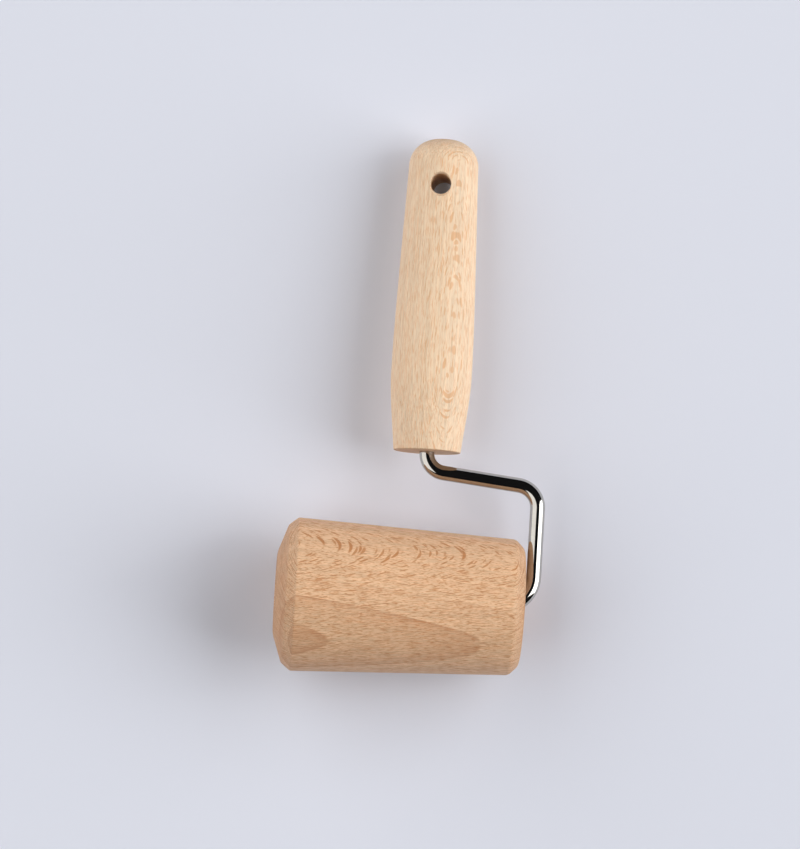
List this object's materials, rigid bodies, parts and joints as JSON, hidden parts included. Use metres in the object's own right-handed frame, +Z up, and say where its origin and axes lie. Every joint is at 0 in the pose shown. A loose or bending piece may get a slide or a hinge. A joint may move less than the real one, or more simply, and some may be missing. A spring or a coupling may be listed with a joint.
{
  "type": "dough roller",
  "caption": "Conical wooden dough roller that turns on the axle of a one-sided bent wire frame, with a turned wooden handle and a hang hole.",
  "frame": {"origin": "on the table that the tool lies on, under the middle of its bounding box", "axes": "+Z up from the table, +Y along the tool from the roller to the butt of the handle, +X along the roller from its large end to its small end, where the wire leg is"},
  "size_m": [0.0886, 0.1802, 0.051],
  "materials": {
    "roller_beech": "fine sanded, unsealed, pinkish tan",
    "handle_beech": "fine sanded, unsealed, pale cream",
    "bright_wire": "bright plated",
    "zinc_sheet": "zinc plated",
    "nylon": "natural, moulded"
  },
  "bodies": {
    "frame": {"axle_frame": "bright_wire", "handle": "handle_beech", "stop_washer": "zinc_sheet", "end_washer": "zinc_sheet", "axle_cap": "zinc_sheet"},
    "roller": {"roller": "roller_beech", "nose_bush": "nylon", "heel_bush": "nylon"}
  },
  "joints": [
    {"name": "roller_spin", "type": "hinge", "parent": "frame", "child": "roller", "pos_m": [-0.00114, -0.06463, 0.02403], "axis": [0.9992, 0, -0.0399], "continuous": true}
  ]
}
